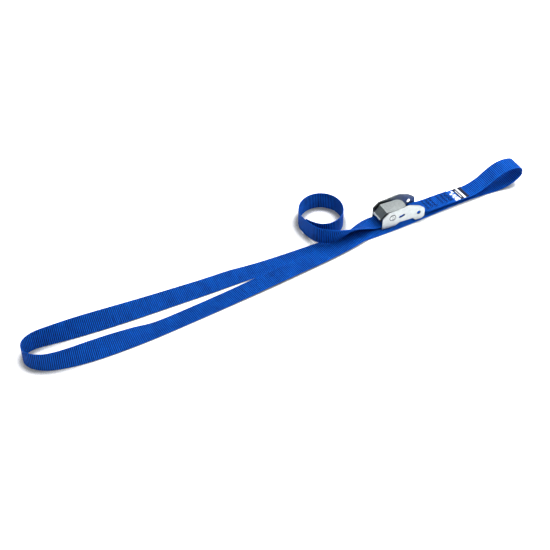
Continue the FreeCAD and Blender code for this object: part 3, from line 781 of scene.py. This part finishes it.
def woven_label():
    """The label: a thin strip between the sewn layers that lies on the lower one and lifts at its end."""
    mesh = bmesh.new()
    uv = mesh.loops.layers.uv.new("weave")
    start, heading = stack_frame(LABEL_START)
    side_way = Vector((-heading.y, heading.x, 0))
    points = []
    for step in range(LABEL_LONG + 1):
        row = []
        for lane in range(-LABEL_HALF, LABEL_HALF + 1):
            ripple = LABEL_RIPPLE * noise.noise(Vector((step * 0.35, lane * 0.3, 2.0)))
            ripple += LABEL_CURL * (step / LABEL_LONG) ** 4
            lift = LABEL_LOW + LABEL_LIFT + max(0, ripple)
            row.append(start + heading * step + side_way * lane + Vector((0, 0, lift)))
        points.append(row)
    down = Vector((0, 0, LABEL_THICK))
    upper = [[mesh.verts.new(point * MM) for point in row] for row in points]
    lower = [[mesh.verts.new((point - down) * MM) for point in row] for row in points]

    def quad(*corners):
        face = mesh.faces.new([sheet[step][lane] for sheet, step, lane in corners])
        for loop, (sheet, step, lane) in zip(face.loops, corners):
            loop[uv].uv = (step * MM, (lane - LABEL_HALF) * MM)

    for step in range(LABEL_LONG):
        for lane in range(2 * LABEL_HALF):
            ring = ((step, lane), (step + 1, lane), (step + 1, lane + 1), (step, lane + 1))
            quad(*((upper, *corner) for corner in ring))
            quad(*((lower, *corner) for corner in reversed(ring)))
    for step in range(LABEL_LONG):
        for lane in (0, 2 * LABEL_HALF):
            quad((upper, step, lane), (lower, step, lane), (lower, step + 1, lane), (upper, step + 1, lane))
    for lane in range(2 * LABEL_HALF):
        for step in (0, LABEL_LONG):
            quad((upper, step, lane), (upper, step, lane + 1), (lower, step, lane + 1), (lower, step, lane))
    piece = made_piece("woven_label", mesh, [LABEL])
    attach(piece, "strap")
    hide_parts("webbing_label")


# The melted edge: its steps across and sides, then in millimetres how far its middle stands out, its
# half depth, how much it swells, and how much thicker it is than the webbing on each face.
BEAD_STEPS = 50
BEAD_SIDES = 10
BEAD_OUT = 0.55
BEAD_DEEP = 0.95
BEAD_SWELL = 0.12
BEAD_PROUD = 0.08
BEAD_TIP = 0.55


def melted_edge(place):
    """The tail's cut end, melted into a lumpy hard bead that is slimmer at its two tips."""
    point, heading, across, through = place
    mesh = bmesh.new()
    rings = []
    for step in range(BEAD_STEPS + 1):
        side = -WEB_WIDE / 2 + WEB_WIDE * step / BEAD_STEPS
        swell = BEAD_SWELL * noise.noise(Vector((step * 0.45, 3.0, 0)))
        slim = 1.0 if 0 < step < BEAD_STEPS else BEAD_TIP
        ring = []
        for spoke in range(BEAD_SIDES):
            turn = 2 * math.pi * spoke / BEAD_SIDES
            out = BEAD_OUT + (BEAD_DEEP + swell) * math.cos(turn) * slim
            up = (FLAT + BEAD_PROUD + swell * 0.5) * math.sin(turn) * slim
            offset = across * (side * MM) + heading * (out * MM) + through * (up * MM)
            ring.append(mesh.verts.new(point + offset))
        rings.append(ring)
    skin(mesh, rings)
    mesh.faces.new(rings[0])
    mesh.faces.new(list(reversed(rings[-1])))
    piece = made_piece("melted_edge", mesh, [SEALED])
    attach(piece, "strap")
    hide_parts("tail_sealed_edge")
    return piece


# ---------------------------------------------------------------- springs


def torsion_spring(name):
    """A torsion spring, its outer leg in the ear's slot: the CAD part's mesh copied with the spring finish,
    and the CAD part hidden.
    """
    data = bpy.data.objects["torsion_spring_" + name].data.copy()
    data.materials.clear()
    piece = link("spring_" + name, data, [SPRING])
    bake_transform(piece)
    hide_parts("torsion_spring_" + name)



# ---------------------------------------------------------------- studio

FLOOR_HALF = 14.0
FLOOR_DROP = -0.0002

# Soft lamps as place, size in metres and power in watts: one from behind, a nearer one over the eye,
# and a weaker one from the front. All of them point at the middle of the strap.
LAMPS = {
    "key": ((-0.7, 0.8, 2.2), 1.5, 26),
    "near_key": ((0.5, -0.05, 0.7), 0.7, 13),
    "fill": ((0.9, -1.5, 1.8), 1.6, 9),
}
LAMP_AIM = (-0.15, 0, 0)

# The studio's light from below and from above, and its strength.
SKY_LOW = (0.30, 0.31, 0.33, 1)
SKY_HIGH = (1.0, 1.0, 1.0, 1)
SKY_FULL = 0.75
SKY_STRENGTH = 0.65
# A dark corner of the studio, which the front of the lever mirrors: its direction, where it begins and
# is full, and its colour.
DARK_WAY = (-0.666, 0.660, 0.354)
DARK_PATCH = (0.62, 0.93, 0.0, 1.0)
DARK_COLOUR = (0.10, 0.12, 0.125, 1)

CAMERA_PLACE = (-0.637567, -0.996865, 0.952015)
CAMERA_TURN = (48, 0, -24.5)
CAMERA_LENS = 72
CAMERA_SENSOR = 36


def studio_floor():
    """A pale floor just below the strap."""
    mesh = bpy.data.meshes.new("floor")
    square = ((-1, -1), (1, -1), (1, 1), (-1, 1))
    corners = [(x * FLOOR_HALF, y * FLOOR_HALF, FLOOR_DROP) for x, y in square]
    mesh.from_pydata(corners, [], [(0, 1, 2, 3)])
    floor = bpy.data.objects.new("floor", mesh)
    mesh.materials.append(floor_material())
    bpy.context.scene.collection.objects.link(floor)


def studio_lamps():
    """Square lamps that light the strap but don't show in the picture."""
    for name, (spot, size, power) in LAMPS.items():
        lamp = bpy.data.lights.new(name, "AREA")
        lamp.shape = "SQUARE"
        lamp.size = size
        lamp.energy = power
        holder = bpy.data.objects.new(name, lamp)
        holder.location = spot
        holder.visible_camera = False
        holder.rotation_mode = "QUATERNION"
        holder.rotation_quaternion = (Vector(spot) - Vector(LAMP_AIM)).to_track_quat("Z", "Y")
        bpy.context.scene.collection.objects.link(holder)


def studio_world():
    """Light from all round, paler above, with one dark corner."""
    world = bpy.data.worlds.new("studio")
    bpy.context.scene.world = world
    world.use_nodes = True
    tree = world.node_tree
    background = tree.nodes["Background"]
    where = tree.nodes.new("ShaderNodeTexCoord")

    split = tree.nodes.new("ShaderNodeSeparateXYZ")
    tree.links.new(where.outputs["Generated"], split.inputs[0])
    fade = tree.nodes.new("ShaderNodeValToRGB")
    for stop, position, colour in zip(fade.color_ramp.elements, (0.0, SKY_FULL), (SKY_LOW, SKY_HIGH)):
        stop.position = position
        stop.color = colour
    tree.links.new(split.outputs[2], fade.inputs[0])

    facing = tree.nodes.new("ShaderNodeVectorMath")
    facing.operation = "DOT_PRODUCT"
    facing.inputs[1].default_value = DARK_WAY
    tree.links.new(where.outputs["Generated"], facing.inputs[0])
    patch = tree.nodes.new("ShaderNodeMapRange")
    patch.interpolation_type = "SMOOTHSTEP"
    for socket, number in zip(patch.inputs[1:], DARK_PATCH):
        socket.default_value = number
    tree.links.new(facing.outputs["Value"], patch.inputs[0])

    dim = tree.nodes.new("ShaderNodeMix")
    dim.data_type = "RGBA"
    tree.links.new(patch.outputs[0], dim.inputs["Factor"])
    first, second = [socket for socket in dim.inputs if socket.type == "RGBA"]
    tree.links.new(fade.outputs[0], first)
    second.default_value = DARK_COLOUR
    shaded = [socket for socket in dim.outputs if socket.type == "RGBA"][0]
    tree.links.new(shaded, background.inputs[0])
    background.inputs[1].default_value = SKY_STRENGTH


def studio_camera():
    """The camera, where the photograph was taken from."""
    camera = bpy.data.cameras.new("camera")
    camera.lens = CAMERA_LENS
    camera.sensor_width = CAMERA_SENSOR
    camera.clip_start = 0.05
    camera.clip_end = 30
    holder = bpy.data.objects.new("camera", camera)
    holder.location = CAMERA_PLACE
    holder.rotation_euler = tuple(math.radians(turn) for turn in CAMERA_TURN)
    bpy.context.scene.collection.objects.link(holder)
    bpy.context.scene.camera = holder
    bpy.context.scene.view_settings.view_transform = "Standard"


# ---------------------------------------------------------------- the scene


def paint(node, material):
    """Give a carried-over CAD part its finish."""
    for place in bpy.data.objects[node].material_slots:
        place.material = material


WEBBING = webbing_material()
SEALED = sealed_material()
THREAD = thread_material()
LABEL = label_material()

studio_floor()
studio_lamps()
studio_world()
studio_camera()

loop, loop_line, loop_end = ribbon("hand_loop", LOOP_ROUTE)
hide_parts(*WEB_NODES)

sewn = ribbon("sewn_end", SEWN_ROUTE, cut_end=True)[0]
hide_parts("webbing_sewn_end")

inside, _, inside_end = ribbon("buckle_run", BUCKLE_ROUTE, loop_end)
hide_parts("webbing_buckle_run")

tail_route = TAIL_ROUTE + curl_route()
tail, tail_line, _ = ribbon("tail", tail_route, inside_end)
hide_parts("webbing_tail", "webbing_tail_curl")
bead = melted_edge(stations("tail_end", tail_route)[-1])

seam_threads()
woven_label()

# Each metal: its light and dark colour, its roughness, and how much the grain adds to that.
paint("frame_body", metal_material("zinc_plate", (0.445, 0.47, 0.47), (0.31, 0.34, 0.35), 0.33, 0.14,
                                   rings=[(EAR_HOLE, HOLE_WALL_SHADE), (PIVOT, ROUND_HEAD_SHADE)] + slot_shade_discs()))
paint("lever_shell", metal_material("lever_plate", (0.67, 0.72, 0.72), (0.48, 0.53, 0.53), 0.20, 0.20,
                                    lever=True))
paint("cam_jaw", metal_material("jaw_steel", (0.55, 0.56, 0.57), (0.33, 0.34, 0.35), 0.38, 0.2))
paint("pivot_rivet", metal_material("rivet_steel", (0.50, 0.52, 0.52), (0.34, 0.37, 0.38), 0.22, 0.12,
                                    rings=[(PIVOT, HEAD_RIM_SHADE), (PIVOT, HEAD_DIMPLE_SHADE)]))
SPRING = metal_material("spring_wire", (0.42, 0.42, 0.43), (0.25, 0.25, 0.26), 0.3, 0.15, edge=0.0001)
torsion_spring("far")
torsion_spring("near")
